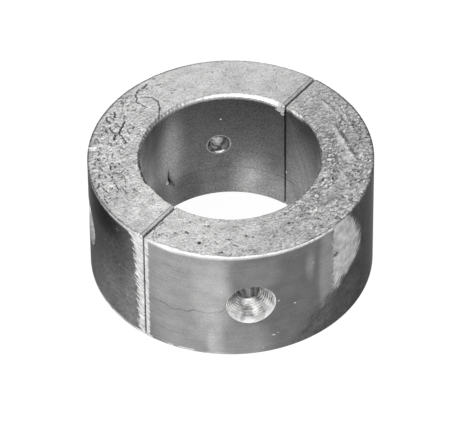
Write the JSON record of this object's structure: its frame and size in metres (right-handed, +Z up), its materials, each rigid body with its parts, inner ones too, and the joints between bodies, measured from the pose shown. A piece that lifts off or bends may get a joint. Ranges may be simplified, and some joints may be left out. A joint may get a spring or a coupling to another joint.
{
  "type": "sacrificial anode",
  "caption": "Thick zinc collar anode in two half rings, with radial countersunk screw holes round its outer wall and a smooth turned bore.",
  "frame": {"origin": "the ring's axis at its lower face", "axes": "+Z up along the ring's axis; the split lies in the XZ plane, with the rear half on +Y"},
  "size_m": [0.087, 0.087, 0.042],
  "materials": {
    "zinc": "dull grey zinc, upper face as cast, walls turned"
  },
  "bodies": {
    "root": {"half_ring_rear": "zinc", "half_ring_front": "zinc"}
  },
  "joints": []
}
